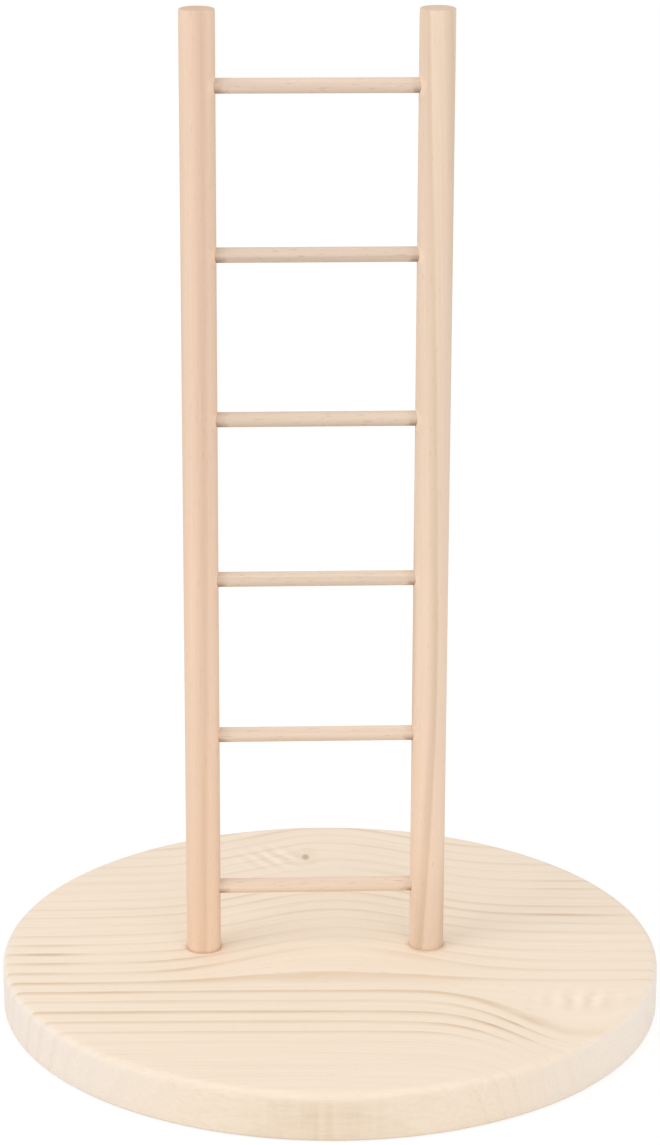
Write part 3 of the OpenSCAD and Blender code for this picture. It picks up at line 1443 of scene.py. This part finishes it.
@dataclass
class Uprights:
    """The two round uprights, each bored for the rungs on the side that faces its twin."""

    top_ease: float = 0.6 * MM
    foot_ease: float = 0.8 * MM
    sanding: float = 0.12 * MM
    bore_clearance: float = 0.05 * MM
    bore_depth: float = 8.0 * MM
    carrier: str = "base"
    finishes: dict[Side, UprightFinish] = field(
        default_factory=lambda: {Side.LEFT: LEFT_PINE, Side.RIGHT: RIGHT_PINE}
    )

    def build(self, shapes: Shapes, effects: WoodEffects, flight: "Flight") -> list[bpy.types.Object]:
        """Builds both uprights in place of their solids, left and right."""
        return [self._upright(side, shapes, effects, flight) for side in Side]

    def _upright(
        self, side: Side, shapes: Shapes, effects: WoodEffects, flight: "Flight"
    ) -> bpy.types.Object:
        """Builds the upright on one side.

        Args:
            side: The side that it stands on.
            shapes: The Geometry Nodes trees.
            effects: The shader groups.
            flight: The rungs that it carries.

        Returns:
            The finished upright.
        """
        low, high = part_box(side.rail)
        middle = (low + high) / 2
        joints = Joints(
            top=(high.z - middle.z) * PER_METRE,
            foot=(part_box(self.carrier)[1].z - middle.z) * PER_METRE,
            first_bore=(flight.first_height - middle.z) * PER_METRE,
            bore_pitch=flight.pitch * PER_METRE,
            bore_radius=flight.radius * PER_METRE,
        )
        finish = replace(self.finishes[side], joints=joints)
        values = {
            "Foot": (middle.x, middle.y, low.z),
            "Radius": (high.x - low.x) / 2,
            "Length": high.z - low.z,
            "Bore Radius": flight.radius + self.bore_clearance,
            "Bore Side": float(-side.value),
            "First Bore": flight.first_height,
            "Bore Pitch": flight.pitch,
            "Bores": flight.count,
            "Material": finish.material(effects, middle),
        }
        upright = grow(f"upright_{side.label}", shapes.upright, self, values)
        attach(upright, ROOT_BODY)
        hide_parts(side.rail)
        return upright


@dataclass
class Flight:
    """The flight of rungs."""

    nodes: list[str]
    end_ease: float = 0.4 * MM
    finish: RungFinish = RUNG_WOOD

    @classmethod
    def from_frame(cls) -> "Flight":
        """Finds the rungs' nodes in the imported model."""
        return cls(sorted(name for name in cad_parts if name.startswith("rung_")))

    @property
    def count(self) -> int:
        """The number of rungs."""
        return len(self.nodes)

    @property
    def radius(self) -> float:
        """The radius of a rung."""
        low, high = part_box(self.nodes[0])
        return (high.z - low.z) / 2

    @property
    def first_height(self) -> float:
        """The height of the lowest rung's centre line."""
        low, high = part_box(self.nodes[0])
        return (low.z + high.z) / 2

    @property
    def pitch(self) -> float:
        """The distance between the centre lines of neighbouring rungs."""
        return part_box(self.nodes[1])[0].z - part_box(self.nodes[0])[0].z

    def build(self, shapes: Shapes, effects: WoodEffects) -> bpy.types.Object:
        """Builds the rungs in place of their solids.

        Args:
            shapes: The Geometry Nodes trees.
            effects: The shader groups.

        Returns:
            The finished flight.
        """
        low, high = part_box(self.nodes[0])
        middle = (low + high) / 2
        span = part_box(Side.RIGHT.rail)[0].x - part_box(Side.LEFT.rail)[1].x
        finish = replace(self.finish, half_span=span / 2 * PER_METRE, pitch=self.pitch * PER_METRE)
        values = {
            "First End": (low.x, middle.y, middle.z),
            "Length": high.x - low.x,
            "Rungs": self.count,
            "Material": finish.material(effects, middle),
        }
        rungs = grow("rungs", shapes.flight, self, values)
        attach(rungs, ROOT_BODY)
        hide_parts(*self.nodes)
        return rungs


@dataclass(frozen=True)
class Lamp:
    """A round soft lamp. Its angles are in degrees from the front and up, and its sizes in metres."""

    name: str
    azimuth: float
    elevation: float
    distance: float
    size: float
    watts: float


@dataclass
class Studio:
    """The camera, the lamps and the white surroundings."""

    azimuth: float = -2.45
    elevation: float = 17.96
    roll: float = 0.21
    distance: float = 1267.39 * MM
    target_right: float = -0.54 * MM
    target_up: float = 163.39 * MM
    focal_pixels: float = 3563.38
    photo_height: float = 1145.0
    sensor: float = 36.0
    sky: float = 0.84
    lamps: tuple[Lamp, ...] = (
        Lamp("Key", azimuth=-62.0, elevation=44.0, distance=1.6, size=1.1, watts=5.4),
        Lamp("Fill", azimuth=22.0, elevation=12.0, distance=1.8, size=1.2, watts=4.6),
    )
    floor_half: float = 3.0
    floor_drop: float = 0.2 * MM
    floor_colour: Colour = srgb(234, 234, 233)
    floor_glow: float = 1.1
    floor_glow_share: float = 0.75

    def build(self) -> None:
        """Sets up the whole studio."""
        self._camera()
        self._world()
        for lamp in self.lamps:
            self._hang(lamp)
        self._floor()
        bpy.context.scene.view_settings.view_transform = "Standard"

    def _direction(self, azimuth: float, elevation: float) -> Vector:
        """The unit vector towards a place that is turned from the front and raised by angles in degrees."""
        turn, rise = math.radians(azimuth), math.radians(elevation)
        return Vector((math.sin(turn) * math.cos(rise), -math.cos(turn) * math.cos(rise), math.sin(rise)))

    def _camera(self) -> None:
        """Places the camera where the photo was taken from."""
        data = bpy.data.cameras.new("Camera")
        data.sensor_width = self.sensor
        data.lens = self.sensor * self.focal_pixels / self.photo_height
        camera = add_object("Camera", data)
        back = self._direction(self.azimuth, self.elevation)
        turn = math.radians(self.azimuth)
        right = Vector((math.cos(turn), math.sin(turn), 0.0))
        target = right * self.target_right + Vector((0.0, 0.0, self.target_up))
        upright = Matrix((right, back.cross(right), back)).transposed()
        rolled = upright @ Matrix.Rotation(math.radians(self.roll), 3, "Z")
        camera.matrix_world = Matrix.Translation(target + back * self.distance) @ rolled.to_4x4()
        bpy.context.scene.camera = camera

    def _seen_directly(self, tree: Tree) -> Wire:
        """Tells the rays that see the surroundings themselves or their reflection.

        Args:
            tree: The tree of the surroundings' shader.

        Returns:
            1 for those rays, and 0 for the rays that carry light to the object.
        """
        path = tree.node("ShaderNodeLightPath")
        rays = ("Is Camera Ray", "Is Glossy Ray", "Is Transmission Ray")
        camera, glossy, through = (tree.out(path, ray) for ray in rays)
        return tree.math("MINIMUM", camera + glossy + through, 1.0)

    def _world(self) -> None:
        """Makes the sky white to look at, and lets it light the object at its own level."""
        world = bpy.data.worlds.new("Studio")
        tree = cleared_tree(world)
        strength = self._seen_directly(tree) * (1.0 - self.sky) + self.sky
        light = tree.wire("ShaderNodeBackground", {"Color": WHITE, "Strength": strength})
        tree.node("ShaderNodeOutputWorld", {"Surface": light})
        tree.arrange()
        bpy.context.scene.world = world

    def _hang(self, lamp: Lamp) -> None:
        """Hangs a lamp so that it faces the ladder's middle.

        Args:
            lamp: The lamp.
        """
        data = bpy.data.lights.new(lamp.name, "AREA")
        data.shape = "DISK"
        data.size = lamp.size
        data.energy = lamp.watts
        hung = add_object(lamp.name, data)
        towards = self._direction(lamp.azimuth, lamp.elevation)
        middle = Vector((0.0, 0.0, self.target_up))
        turn = towards.to_track_quat("Z", "Y").to_matrix().to_4x4()
        hung.matrix_world = Matrix.Translation(middle + towards * lamp.distance) @ turn

    def _floor(self) -> None:
        """Lays the white floor, which looks as white as the sky but keeps a faint shadow."""
        mesh = bpy.data.meshes.new("floor")
        signs = ((-1, -1), (1, -1), (1, 1), (-1, 1))
        corners = [(x * self.floor_half, y * self.floor_half, -self.floor_drop) for x, y in signs]
        mesh.from_pydata(corners, [], [(0, 1, 2, 3)])
        floor = add_object("floor", mesh)
        material = bpy.data.materials.new("Floor white")
        tree = cleared_tree(material)
        matte = tree.wire("ShaderNodeBsdfDiffuse", {"Color": self.floor_colour})
        glow = tree.wire("ShaderNodeEmission", {"Color": WHITE, "Strength": self.floor_glow})
        share = self._seen_directly(tree) * self.floor_glow_share
        mix = tree.wire("ShaderNodeMixShader", {0: share, 1: matte, 2: glow})
        tree.node("ShaderNodeOutputMaterial", {"Surface": mix})
        tree.arrange()
        mesh.materials.append(material)


def report(piece: bpy.types.Object) -> None:
    """Logs a piece's name and how many faces it has."""
    log.info("%s: %d faces", piece.name, len(piece.data.polygons))


def main() -> None:
    """Builds the studio and every piece of the ladder, in order."""
    logging.basicConfig(level=logging.INFO, format="%(name)s: %(message)s")
    Studio().build()
    shapes, effects = Shapes(), WoodEffects()
    flight = Flight.from_frame()
    report(Board().build(shapes, effects))
    for upright in Uprights().build(shapes, effects, flight):
        report(upright)
    report(flight.build(shapes, effects))


if __name__ == "__main__":
    main()
